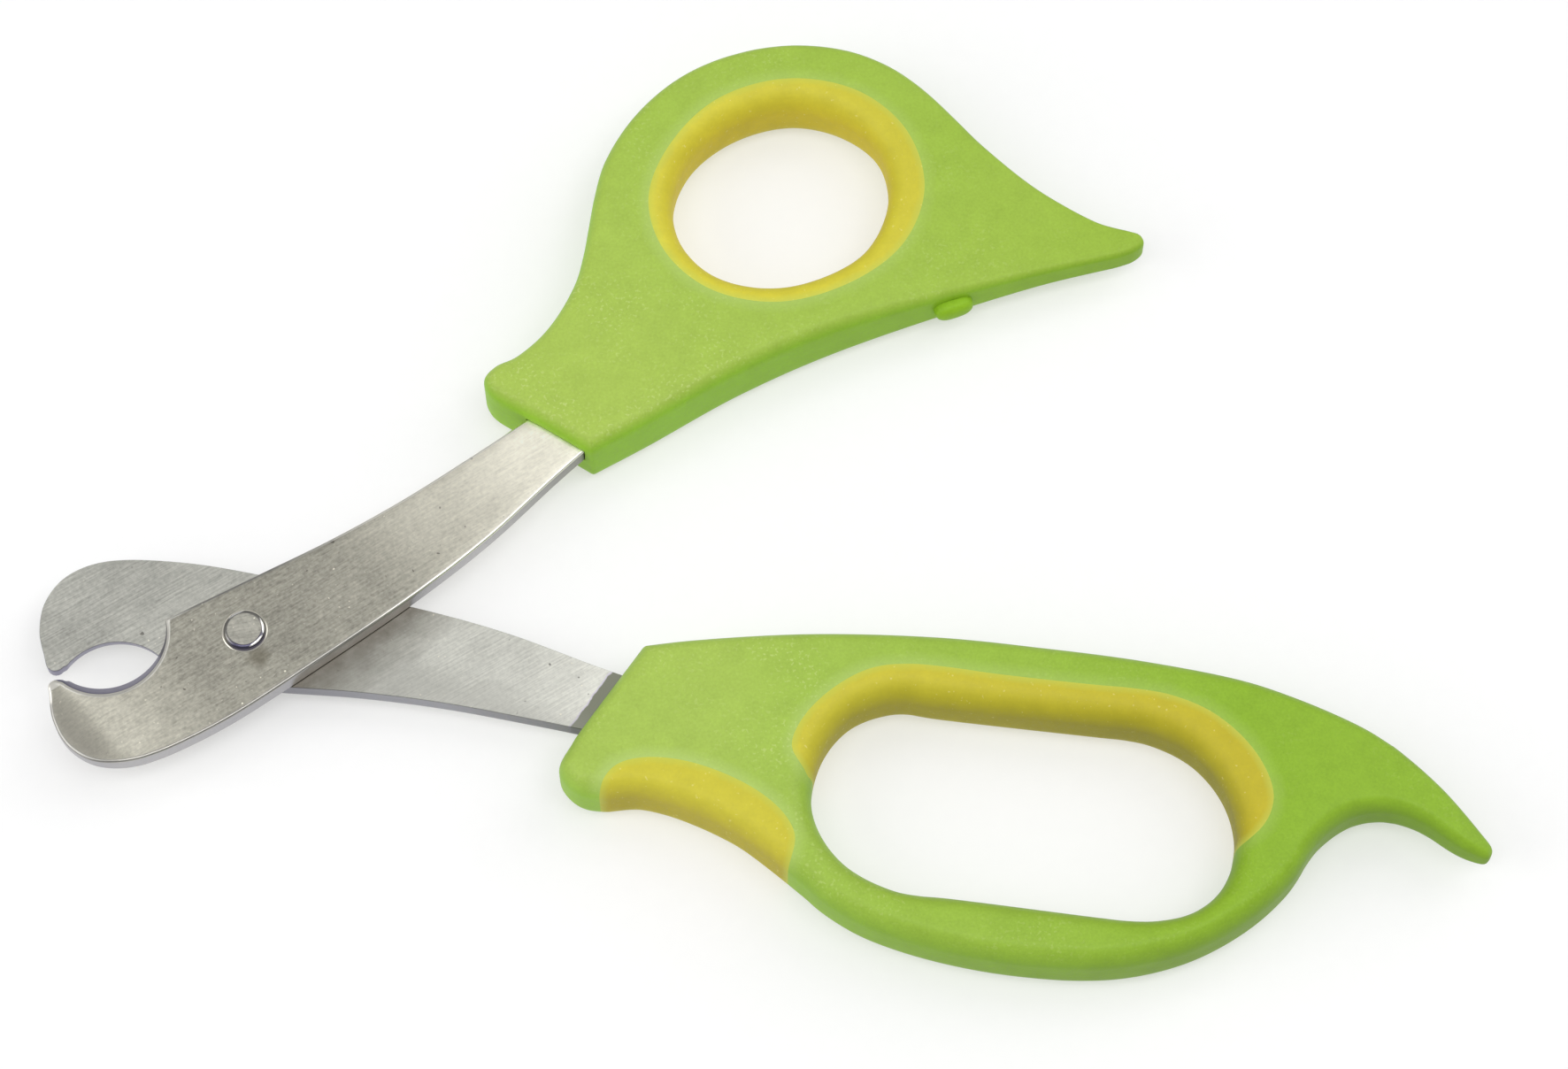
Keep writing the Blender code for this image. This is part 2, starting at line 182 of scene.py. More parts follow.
def without_spare_points(loop, near=0.02, straight=0.0006):
    """The loop without doubled points and without points in the middle of straight stretches."""
    loop = np.array([p for k, p in enumerate(loop) if np.linalg.norm(p - loop[k - 1]) > near])
    chord = np.roll(loop, -1, 0) - np.roll(loop, 1, 0)
    arm = loop - np.roll(loop, 1, 0)
    height = np.abs(chord[:, 0] * arm[:, 1] - chord[:, 1] * arm[:, 0])
    return loop[height / np.linalg.norm(chord, axis=1) > straight]


def signed_area(loop):
    """Positive when the loop runs anticlockwise."""
    x, y = loop.T
    return float(np.sum(x * np.roll(y, -1) - np.roll(x, -1) * y) / 2)


def anticlockwise(loop):
    return loop if signed_area(loop) > 0 else loop[::-1]


def turn_at(loop):
    """The unsigned turn at each point of a loop, in degrees."""
    out = np.roll(loop, -1, 0) - loop
    heading = np.arctan2(out[:, 1], out[:, 0])
    return np.abs((np.degrees(heading - np.roll(heading, 1)) + 180) % 360 - 180)


def spline_points(p0, p1, p2, p3, count):
    """Points from p1 up to but not including p2 on the centripetal Catmull-Rom curve."""
    t = np.cumsum([0.0] + [max(1e-6, np.linalg.norm(b - a)) ** 0.5
                           for a, b in ((p0, p1), (p1, p2), (p2, p3))])
    u = np.linspace(t[1], t[2], count, endpoint=False)[:, None]

    def mix(a, b, ta, tb):
        return a + (b - a) * (u - ta) / (tb - ta)

    a1, a2, a3 = mix(p0, p1, t[0], t[1]), mix(p1, p2, t[1], t[2]), mix(p2, p3, t[2], t[3])
    b1, b2 = mix(a1, a2, t[0], t[2]), mix(a2, a3, t[1], t[3])
    return mix(b1, b2, t[1], t[2])


def curve_through(padded, step):
    """The smooth curve from the second point of a run up to its last but one."""
    curve = []
    for k in range(len(padded) - 3):
        gap = np.linalg.norm(padded[k + 2][:2] - padded[k + 1][:2])
        curve.append(spline_points(*padded[k:k + 4], max(1, math.ceil(gap / step))))
    return np.concatenate(curve)


def smooth_run(points, step):
    """A smooth curve through an open run of points, without its last point."""
    before, after = 2 * points[0] - points[1], 2 * points[-1] - points[-2]
    return curve_through(np.concatenate([[before], points, [after]]), step)


def smooth_loop(loop, step=OUTLINE_STEP, corner_deg=CORNER_DEG):
    """A loop made smooth between its corners.  The corners stay where they are."""
    corners = np.flatnonzero(turn_at(loop[:, :2]) > corner_deg)
    if len(corners) == 0:
        return curve_through(np.concatenate([loop[-1:], loop, loop[:2]]), step)
    loop = np.roll(loop, -corners[0], 0)
    corners = np.append(corners - corners[0], len(loop))
    closed = np.concatenate([loop, loop[:1]])
    runs = [closed[a:b + 1] for a, b in zip(corners, corners[1:])]
    return np.concatenate([smooth_run(run, step) for run in runs])


def filleted(loop, steps=8):
    """The loop with each sharp corner replaced by a round one."""
    sharp = turn_at(loop) > CORNER_DEG
    made = []
    for k, here in enumerate(loop):
        if sharp[k]:
            a, b = point_along(loop, k, FILLET, -1), point_along(loop, k, FILLET, 1)
            share = np.linspace(0, 1, steps + 1)[:, None]
            made.extend((1 - share) ** 2 * a + 2 * share * (1 - share) * here + share ** 2 * b)
        elif np.all(np.linalg.norm(here - loop[sharp], axis=1) > FILLET):
            made.append(here)
    return np.array(made)


def point_along(loop, k, distance, way):
    """The point on the loop at a distance from point k, walking forwards (1) or back (-1)."""
    here = loop[k]
    j = k
    while True:
        j = (j + way) % len(loop)
        if np.linalg.norm(loop[j] - loop[k]) >= distance:
            left = distance - np.linalg.norm(here - loop[k])
            return here + (loop[j] - here) * left / max(1e-9, np.linalg.norm(loop[j] - here))
        here = loop[j]


def inside(points, loop):
    """Which points lie inside a closed loop."""
    x, y = points.T[:, :, None]
    (x1, y1), (x2, y2) = loop.T, np.roll(loop, -1, 0).T
    crosses = (y1 > y) != (y2 > y)
    safe = np.where(y2 == y1, 1.0, y2 - y1)
    at = x1 + (y - y1) * (x2 - x1) / safe
    return np.sum(crosses & (x < at), axis=1) % 2 == 1


def distance_to(points, line, closed=True):
    """The distance of each point from a polyline."""
    starts = line if closed else line[:-1]
    ends = np.roll(line, -1, 0) if closed else line[1:]
    span = ends - starts
    length2 = np.maximum(1e-12, (span ** 2).sum(1))
    nearest = [np.empty(0)]
    for k in range(0, len(points), BLOCK):
        part = points[k:k + BLOCK, None, :]
        share = np.clip(((part - starts) * span).sum(2) / length2, 0, 1)
        gap = part - (starts + share[..., None] * span)
        nearest.append(np.linalg.norm(gap, axis=2).min(1))
    return np.concatenate(nearest)


def offset(loop, distance):
    """The loop moved to its left by a distance, or by one distance for each point."""
    out = np.roll(loop, -1, 0) - loop
    out /= np.linalg.norm(out, axis=1)[:, None]
    after = np.stack([-out[:, 1], out[:, 0]], 1)
    before = np.roll(after, 1, 0)
    mitre = np.maximum(MITRE_LEAST, 1 + (before * after).sum(1))
    return loop + (before + after) * (np.broadcast_to(distance, len(loop)) / mitre)[:, None]


def two_runs(loop, first):
    """A loop's points for which first holds, and the others, each as an unbroken run."""
    start = int(np.flatnonzero(first & ~np.roll(first, 1))[0])
    turned, chosen = np.roll(loop, -start, 0), np.roll(first, -start)
    return turned[chosen], turned[~chosen]


def joined_outline(handle_loop, grip_loop, touching=0.5):
    """A handle's outline with the bite that a grip fills closed by the grip's own outer edge.

    Returns the whole outline, and the grip's seam as an open run of points."""
    rest = two_runs(handle_loop, distance_to(handle_loop, grip_loop) < touching)[1]
    free, seam = two_runs(grip_loop, distance_to(grip_loop, handle_loop) >= touching)
    same_way = np.linalg.norm(rest[-1] - free[0]) < np.linalg.norm(rest[-1] - free[-1])
    return np.concatenate([rest, free if same_way else free[::-1]]), seam


def past_ends(run, distance):
    """An open run made longer at both ends."""
    first, last = run[0] - run[1], run[-1] - run[-2]
    first, last = first / np.linalg.norm(first), last / np.linalg.norm(last)
    return np.concatenate([[run[0] + distance * first], run, [run[-1] + distance * last]])


# ---- mesh building

def triangulated(loops, runs, extra):
    """Triangles inside the first loop and outside the second, round loose points as well.

    The lines of every loop and open run are edges of them."""
    points, edges = [], []
    for line, closed in [(loop, True) for loop in loops] + [(run, False) for run in runs]:
        first = len(points)
        points.extend(line)
        edges += [(first + k, first + k + 1) for k in range(len(line) - 1)]
        if closed:
            edges.append((first + len(line) - 1, first))
    points.extend(extra)
    made = geometry.delaunay_2d_cdt([Vector(p) for p in points], edges, [], 0, PLAN_WELD, False)
    plan = np.array([tuple(v) for v in made[0]])
    faces = np.array([tuple(f) for f in made[2]])
    middle = plan[faces].mean(1)
    return plan, faces[inside(middle, loops[0]) & ~inside(middle, loops[1])]


def fill_points(outer, hole, step, clear):
    """A triangular grid inside a loop and outside a hole, clear of each by a distance."""
    low, high = outer.min(0), outer.max(0)
    rows = enumerate(np.arange(low[1], high[1], step * ROW_SHARE))
    points = np.array([(x + row % 2 * step / 2, y) for row, y in rows
                       for x in np.arange(low[0], high[0], step)])
    points = points[inside(points, outer) & ~inside(points, hole)]
    free = (distance_to(points, outer) > clear[0]) & (distance_to(points, hole) > clear[1])
    return points[free]


def taper_share(x, taper):
    """The share of a handle's full thickness that it has at each x."""
    start, end, smallest = taper
    along = np.clip((x - PIVOT[0] - start) / (end - start), 0, 1)
    nose = np.clip((x - PIVOT[0] - NOSE[0]) / (NOSE[1] - NOSE[0]), 0, NOSE_MOST)
    return (1 - (1 - smallest) * along * along * (3 - 2 * along)) * np.sqrt(1 - nose ** 2)


def rounded_height(distance, share, rounding):
    """How far a rounded edge lies under the flat face, a distance in from the outline."""
    width, height = rounding[0] * share, rounding[1] * share
    reach = np.clip(1 - distance / width, 0, 1)
    return height * (1 - np.sqrt(1 - reach ** 2))


def placed(name, data):
    """A new object in the scene."""
    made = bpy.data.objects.new(name, data)
    bpy.context.scene.collection.objects.link(made)
    return made


def shade(mesh):
    """Smooth shading that stops at the mesh's sharp edges."""
    mesh.shade_smooth()
    mesh.set_sharp_from_angle(angle=math.radians(SHARP_DEG))


def write_mesh(name, vertices, faces, merge=False):
    """A smooth-shaded object from vertices in mm."""
    mesh = bpy.data.meshes.new(name)
    mesh.from_pydata([tuple(v) for v in np.asarray(vertices) * MM], [], [tuple(f) for f in faces])
    bm = bmesh.new()
    bm.from_mesh(mesh)
    if merge:
        bmesh.ops.remove_doubles(bm, verts=bm.verts, dist=2 * WELD)
    bmesh.ops.recalc_face_normals(bm, faces=bm.faces)
    bm.to_mesh(mesh)
    bm.free()
    mesh.validate()
    shade(mesh)
    return placed(name, mesh)


def at_height(loop, height):
    """Points in plan, all put at one height."""
    return np.column_stack([loop, np.full(len(loop), height)])


def ring_wall(first, rings, count):
    """Quads between rings of the same number of vertices, numbered from first."""
    quads = []
    for low in range(first, first + (rings - 1) * count, count):
        for k in range(count):
            after = (k + 1) % count
            quads.append((low + k, low + after, low + count + after, low + count + k))
    return quads


def capped_wall(rings, count):
    """The faces of a stack of rings with one flat face on each end."""
    last = (rings - 1) * count
    return ring_wall(0, rings, count) + [tuple(range(count)), tuple(range(last, last + count))]


def closed_piece(name, plan, top, bottom, faces):
    """One closed piece: its faces at the top and bottom heights, and a wall round their border."""
    used, flat = np.unique(faces, return_inverse=True)
    flat = flat.reshape(-1, 3)
    count = len(used)
    vertices = [np.column_stack([plan[used], z[used]]) for z in (top, bottom)]
    sides = np.concatenate([flat[:, [0, 1]], flat[:, [1, 2]], flat[:, [2, 0]]])
    keys = sides.min(1) * count + sides.max(1)
    _, first, times = np.unique(keys, return_index=True, return_counts=True)
    polygons = [tuple(f) for f in flat] + [tuple(f[::-1] + count) for f in flat]
    polygons += [(b, a, a + count, b + count) for a, b in sides[first[times == 1]]]
    return write_mesh(name, np.concatenate(vertices), polygons)


def rounding_rows(loop, width, taper):
    """The rows of points beside an outline that carry its rounded edge, without strayed ones."""
    share = taper_share(loop[:, 0], taper)
    rows = []
    for angle in np.linspace(0, 90, ROUND_ROWS + 1)[:-1]:
        distances = width * share * (1 - math.sin(math.radians(angle)))
        row = offset(loop, distances)
        rows.append(row[distance_to(row, loop) > STRAYED * distances])
    return rows


def face_fill(outer, hole, seams, edge_round):
    """Loose points over the flat faces, clear of the rounded edges and the grooves."""
    clear = edge_round[0] + EDGE_CLEARANCE, HOLE_ROUND[0] + EDGE_CLEARANCE
    points = fill_points(outer, hole, FILL_STEP, clear)
    for seam, closed in seams:
        points = points[distance_to(points, seam, closed) > SEAM_CLEARANCE]
    return points


def face_height(plan, outer, hole, seams, taper, edge_round):
    """How far the faces, with their rounded edges and grooves, are from the middle plane."""
    share = taper_share(plan[:, 0], taper)
    drop = np.maximum(rounded_height(distance_to(plan, outer), share, edge_round),
                      rounded_height(distance_to(plan, hole), share, HOLE_ROUND))
    half_width, depth = GROOVE
    for seam, closed in seams:
        drop += depth * np.clip(1 - distance_to(plan, seam, closed) / half_width, 0, 1)
    return HALF_THICKNESS * share - drop


def moulding(outer, hole, seams, taper, edge_round, names, tools):
    """The closed pieces of one moulded handle: names[0] is the body, and the rest its grips.

    seams holds a line in plan for each grip, and whether the line is closed.  The grip fills
    the line, or what lies between an open line and its chord.  tools work on the body."""
    outer, hole = anticlockwise(outer), anticlockwise(hole)[::-1]
    loops = [outer, hole] + rounding_rows(outer, edge_round[0], taper)
    loops += rounding_rows(hole, HOLE_ROUND[0], taper)
    runs = []
    for seam, closed in seams:
        for side in (-GROOVE[0], 0.0, GROOVE[0]):
            (loops if closed else runs).append(offset_line(seam, side, closed))
    plan, faces = triangulated(loops, runs, face_fill(outer, hole, seams, edge_round))
    up = face_height(plan, outer, hole, seams, taper, edge_round)
    middle = plan[faces].mean(1)
    label = np.zeros(len(faces), int)
    for k, (seam, _) in enumerate(seams):
        label[inside(middle, seam)] = k + 1
    pieces = [closed_piece(name, plan, MIDDLE + up, MIDDLE - up, faces[label == k])
              for k, name in enumerate(names)]
    for tool, operation in tools:
        cut(pieces[0], tool, operation)
    for piece in pieces:
        note_moulding(piece, seams, taper)
    return pieces


def offset_line(line, distance, closed):
    """A closed or open line moved sideways."""
    return offset(line, distance) if closed else offset(past_ends(line, 1.0), distance)[1:-1]


# ---- the blades

# A blade's outer-face edge rounding and the rows that carry it, the break on its near-face edge,
# the rows of its plain wall, and the share of its thickness at which the CAD solid states the
# outline again.
BLADE_ROUND = 0.26
BLADE_ROUND_ROWS = 7
NEAR_BREAK = 0.06
WALL_SHARES = (0.3, 0.6)
OUTLINE_SHARE = 0.9

# How a blade's outline is made smooth, the turn under which a point is spare, and the spacing and
# edge clearance of the loose points on its faces.
BLADE_STEP = 0.35
BLADE_CORNER_DEG = 30.0
STRAIGHT_DEG = 0.01
BLADE_FILL_STEP = 1.0
BLADE_CLEARANCE = 0.4

# The slanting facet ground on the thumb jaw's outer end: a point on its border, from the rivet,
# the way it falls in plan, its slope, how softly it starts, and how far in it is fully facet.
FACET_POINT = (-16.9, -7.6)
FACET_FALLS_TO = (-0.773, -0.635)
FACET_SLOPE = 0.23
FACET_SOFTNESS = 0.8
FACET_FADE = 1.6

# Where the wall leans this much it is the notch's ground bevel, which reaches this far in, and
# fades out over this much.
BEVEL_LEAST = 0.2
BEVEL_REACH = 2.0
BEVEL_FADE = 0.5


def paired(loop, other):
    """The other loop, run the same way and from the same start as the first."""
    other = anticlockwise(other)
    gaps = [np.sum((loop - np.roll(other, -k, 0)) ** 2) for k in range(len(other))]
    return np.roll(other, -int(np.argmin(gaps)), 0)


def facet_run(plan):
    """How far each point is past the border of the ground facet, negative on the flat face."""
    return (plan - PIVOT - FACET_POINT) @ np.array(FACET_FALLS_TO)


def facet_drop(plan):
    """How far the ground facet lies under the flat face."""
    along = facet_run(plan)
    return FACET_SLOPE * (np.sqrt(along ** 2 + FACET_SOFTNESS ** 2) + along) / 2


def inset_ring(line, distance):
    """A closed line moved inwards, with the points that would cross over drawn together."""
    ring = offset(line, distance)
    count = len(ring)
    good = distance_to(ring, line) >= STRAYED * distance
    for k in np.flatnonzero(~good):
        after = next(j for j in range(k + 1, k + count) if good[j % count])
        before = next(j for j in range(k - 1, k - count, -1) if good[j])
        ring[k] = ring[after % count if after - k < k - before else before % count]
    return ring


def blade_outline(node, near, to_break):
    """A blade's smooth outline at its near face, and how far it leans over its thickness."""
    at_near = anticlockwise(rim_loops(node, near)[0])
    at_break = paired(at_near, rim_loops(node, near + to_break)[0])
    both = smooth_loop(np.hstack([at_near, at_break]), BLADE_STEP, BLADE_CORNER_DEG)
    both = both[turn_at(both[:, :2]) > STRAIGHT_DEG]
    return both[:, :2], (both[:, 2:] - both[:, :2]) / OUTLINE_SHARE


def blade_rings(base, lean, thickness):
    """The rings up a blade's wall, each with its share of the thickness."""
    levels = [(0.0, NEAR_BREAK), (NEAR_BREAK / thickness, 0.0)]
    levels += [(share, 0.0) for share in WALL_SHARES]
    for angle in np.radians(np.linspace(0, 90, BLADE_ROUND_ROWS)):
        rise = 1 - BLADE_ROUND / thickness * (1 - math.sin(angle))
        levels.append((rise, BLADE_ROUND * (1 - math.cos(angle))))
    return [(inset_ring(base + lean * share, inset), share) for share, inset in levels]


def blade_face(ring, hole):
    """The plan points and the triangles of a blade's face, round the rivet hole."""
    extra = fill_points(ring, hole, BLADE_FILL_STEP, (BLADE_CLEARANCE, BLADE_CLEARANCE))
    spaced = ring[np.linalg.norm(ring - np.roll(ring, 1, 0), axis=1) > 1e-6]
    return triangulated([spaced, hole], [], extra)


def blade(node, name, handle, faceted):
    """A visible blade: the CAD outline with round edges, its notch bevel and its rivet hole."""
    near, outer = blade_faces(node)
    thickness = abs(outer - near)
    side = 1 if outer > near else -1
    base, lean = blade_outline(node, near, side * OUTLINE_SHARE * thickness)
    rings = blade_rings(base, lean, thickness)
    hole = rim_loops(node, near)[1]
    points = [at_height(ring, share) for ring, share in rings]
    points += [at_height(hole, 0.0), at_height(hole, 1.0)]
    hole_first = len(rings) * len(base)
    faces = ring_wall(0, len(rings), len(base)) + ring_wall(hole_first, 2, len(hole))
    total = hole_first + 2 * len(hole)
    for ring, share in (rings[0], rings[-1]):
        plan, triangles = blade_face(ring, hole)
        points.append(at_height(plan, share))
        faces += [tuple(f + total) for f in triangles]
        total += len(plan)
    points = np.concatenate(points)
    drop = facet_drop(points[:, :2]) if faceted else 0.0
    points[:, 2] = near + side * points[:, 2] * (thickness - drop)
    piece = write_mesh(name, points, faces, merge=True)
    note_blade(piece, near, thickness, base, lean, handle, faceted)
    return piece


def note_blade(piece, near, thickness, base, lean, handle, faceted):
    """Store, for each vertex, where it is on the blade.

    rise is its share of the thickness, in_mm how far it is in from the edge's rounding, notch
    whether it is on the notch's bevel, facet whether it is on the ground facet, and mouth_mm
    how far it is from the handle's outline, negative inside it."""
    corners = corners_mm(piece)
    plan = corners[:, :2]
    drop = facet_drop(plan) if faceted else 0.0
    slanted = base[np.linalg.norm(lean, axis=1) > BEVEL_LEAST]
    to_slanted = np.linalg.norm(plan[:, None] - slanted, axis=2).min(1)
    store(piece, "rise", np.abs(corners[:, 2] - near) / (thickness - drop))
    store(piece, "in_mm", distance_to(plan, base + lean) - BLADE_ROUND)
    store(piece, "notch", np.clip((BEVEL_REACH - to_slanted) / BEVEL_FADE, 0, 1))
    store(piece, "facet", np.clip(facet_run(plan) / FACET_FADE, 0, 1))
    sign = np.where(inside(plan, handle), -1.0, 1.0)
    store(piece, "mouth_mm", distance_to(plan, handle) * sign)


def store(piece, name, values):
    """Keep one number for each vertex, for the materials."""
    field = piece.data.attributes.new(name, "FLOAT", "POINT")
    field.data.foreach_set("value", np.asarray(values, np.float32))


def corners_mm(piece):
    """The vertices of a piece, in millimetres."""
    return np.array([v.co for v in piece.data.vertices]) / MM


def heights(node):
    """The lowest and highest point of a CAD node, in millimetres."""
    return [corner.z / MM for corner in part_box(node)]


def blade_faces(node):
    """The heights of a blade's face at the middle plane and of its outer face."""
    return sorted(heights(node), key=lambda z: abs(z - MIDDLE))


# The rivet: its shank, how far that stands out behind and in front of the blades, its dome behind,
# its collar and the head's lower edge as (radius, height over the front blade), and the head's
# rolled rim, flat and dish.
SHANK_RADIUS = 2.0
SHANK_BEHIND = 0.05
SHANK_IN_FRONT = 0.02
DOME_DEGREES = (6, 90, 15)
ROLL_DEGREES = (0, 90, 8)
COLLAR = ((2.32, 0.01), (2.23, 0.07), (2.11, 0.05), (2.08, 0.12))
HEAD_RADIUS = 2.08
HEAD_FLAT_RADIUS = 1.7
ROLL_SQUASH = 0.8
DISH = 0.03
DISH_RADII = (1.3, 0.9, 0.5, 0.1)
RIVET_SIDES = 72


def rivet_profile():
    """The rivet's outline, as (radius, height), from its low dome behind to its disc in front."""
    under, over = heights("finger_blade")[0], heights("thumb_blade")[1]
    low, high = heights("pivot_rivet")
    left, right = (corner.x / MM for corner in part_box("pivot_rivet"))
    tail = (right - left) / 2
    brim = under - SHANK_BEHIND
    rolled = HEAD_RADIUS - HEAD_FLAT_RADIUS
    profile = [(tail * math.sin(a), brim + (low - brim) * math.cos(a))
               for a in np.radians(np.linspace(*DOME_DEGREES))]
    profile += [(SHANK_RADIUS, brim), (SHANK_RADIUS, over + SHANK_IN_FRONT)]
    profile += [(radius, over + rise) for radius, rise in COLLAR]
    profile += [(HEAD_FLAT_RADIUS + rolled * math.cos(a),
                 high - rolled * ROLL_SQUASH * (1 - math.sin(a)))
                for a in np.radians(np.linspace(*ROLL_DEGREES))]
    profile += [(r, high - DISH * (1 - (r / HEAD_FLAT_RADIUS) ** 2)) for r in DISH_RADII]
    return profile


def rivet():
    """The rivet, turned from its profile."""
    angles = np.linspace(0, 2 * math.pi, RIVET_SIDES, endpoint=False)
    circle = np.column_stack([np.cos(angles), np.sin(angles)])
    rings = [at_height(PIVOT + radius * circle, z) for radius, z in rivet_profile()]
    return write_mesh("rivet", np.concatenate(rings), capped_wall(len(rings), RIVET_SIDES))


# ---- the handles

# The clearance that the moulding leaves round the tang where the blade enters.
MOUTH_GAP = 0.07


def thumb_mouldings():
    """The thumb handle with its ring grip, and the handle's outline."""
    loop = slice_loops("thumb_handle", BELOW_THUMB_POCKET)[0]
    from_stop = np.linalg.norm(loop - (PIVOT + STOP_CENTRE), axis=1)
    outer = filleted(smooth_loop(loop[from_stop > STOP_HALF_SIZE[0] + STOP_CLEARANCE]))
    hole = smooth_loop(slice_loops("thumb_ring_grip", MIDDLE)[-1])
    seams = [(smooth_loop(slice_loops("thumb_ring_grip", SEAM_HEIGHT)[0]), True)]
    names = ["thumb_handle_green", "thumb_ring_yellow"]
    tools = [(stop_pill(), "UNION"), (mouth_tool("thumb_blade"), "DIFFERENCE")]
    return moulding(outer, hole, seams, THUMB_TAPER, THUMB_ROUND, names, tools), outer


def finger_mouldings():
    """The finger handle with its loop grip and its index rest, and the handle's outline."""
    loops = slice_loops("finger_handle", ABOVE_TONGUES)
    loop_grip = slice_loops("finger_loop_grip", ABOVE_TONGUES)[0]
    index_grip = slice_loops("index_rest_grip", ABOVE_TONGUES)[0]
    outer, index_seam = joined_outline(loops[0], index_grip)
    hole, loop_seam = joined_outline(loops[1], loop_grip)
    outer, hole = filleted(smooth_loop(outer)), smooth_loop(hole)
    seams = [(past_ends(smooth_run(seam, OUTLINE_STEP), SEAM_OVERRUN), False)
             for seam in (loop_seam, index_seam)]
    names = ["finger_handle_green", "finger_loop_yellow", "index_rest_yellow"]
    tools = [(mouth_tool("finger_blade"), "DIFFERENCE")]
    return moulding(outer, hole, seams, FINGER_TAPER, FINGER_ROUND, names, tools), outer


def cut(target, tool, operation):
    """Put the target through a Boolean with the tool, which is removed."""
    modifier = target.modifiers.new("cut", "BOOLEAN")
    modifier.operation = operation
    modifier.solver = "EXACT"
    modifier.object = tool
    evaluated = target.evaluated_get(bpy.context.evaluated_depsgraph_get())
    old, target.data = target.data, bpy.data.meshes.new_from_object(evaluated)
    target.modifiers.clear()
    bpy.data.meshes.remove(old)
    bpy.data.objects.remove(tool)
    shade(target.data)


def mouth_tool(node):
    """The space that a blade takes in its handle, a little larger all round."""
    loop = anticlockwise(rim_loops(node, blade_faces(node)[0])[0])
    low, high = heights(node)
    levels = [at_height(offset(loop, -MOUTH_GAP), z) for z in (low - MOUTH_GAP, high + MOUTH_GAP)]
    return write_mesh("tool_mouth", np.concatenate(levels), capped_wall(2, len(loop)))


def stop_pill():
    """The rounded stop on the thumb handle's inner edge."""
    long, wide, tall = STOP_HALF_SIZE
    turn = math.radians(STOP_ANGLE_DEG)
    around = np.linspace(0, 2 * math.pi, STOP_SIDES, endpoint=False)
    powers = np.abs([np.cos(around), np.sin(around)]) ** STOP_POWER
    squared = (powers[0] + powers[1]) ** (-1 / STOP_POWER)
    x, y = np.cos(around) * squared * long, np.sin(around) * squared * wide
    turned = np.column_stack([x * math.cos(turn) - y * math.sin(turn),
                              x * math.sin(turn) + y * math.cos(turn)])
    rings = []
    for down in np.radians(np.linspace(8, 172, STOP_ROWS)):
        ring = turned * math.sin(down) ** STOP_BULGE + PIVOT + STOP_CENTRE
        rings.append(at_height(ring, MIDDLE + math.cos(down) * tall))
    return write_mesh("tool_stop", np.concatenate(rings), capped_wall(STOP_ROWS, STOP_SIDES))


def note_moulding(piece, seams, taper):
    """Store how near each vertex is to the flat faces, 1 on them, and its distance from a seam."""
    corners = corners_mm(piece)
    plan = corners[:, :2]
    level = np.abs(corners[:, 2] - MIDDLE) / (HALF_THICKNESS * taper_share(plan[:, 0], taper))
    gaps = [distance_to(plan, seam, closed) for seam, closed in seams]
    store(piece, "level", level)
    store(piece, "seam_mm", np.minimum(np.min(gaps, axis=0), FAR_AWAY))


# ---- the materials

# The colours of each moulding: of its flat faces and of its walls, near the blades and towards
# the tails.  The walls' deeper, darker colours are painted shade; the faces' paler colour is partly
# their grain and partly painted sheen, strongest near the blades, where the walls are painted
# lighter too.  The thumb and finger sets are lit and shaded copies of one plastic and one rubber.
THUMB_GREENS = (((0.370, 0.515, 0.088), (0.305, 0.468, 0.050)),
                ((0.285, 0.535, 0.026), (0.235, 0.418, 0.014)))
FINGER_GREENS = (((0.362, 0.508, 0.088), (0.252, 0.430, 0.030)),
                 ((0.285, 0.500, 0.034), (0.175, 0.325, 0.002)))
THUMB_YELLOWS = (((0.685, 0.620, 0.050), (0.505, 0.455, 0.032)),
                 ((0.640, 0.525, 0.020), (0.540, 0.450, 0.016)))
FINGER_YELLOWS = (((0.570, 0.515, 0.040), (0.490, 0.415, 0.020)),
                  ((0.440, 0.370, 0.012), (0.270, 0.238, 0.005)))

# The levels between which each handle's colour turns from the painted shade of its walls to that of
# its faces.
THUMB_SIDE_LEVELS = (0.70, 0.96)
FINGER_SIDE_LEVELS = (0.45, 0.97)


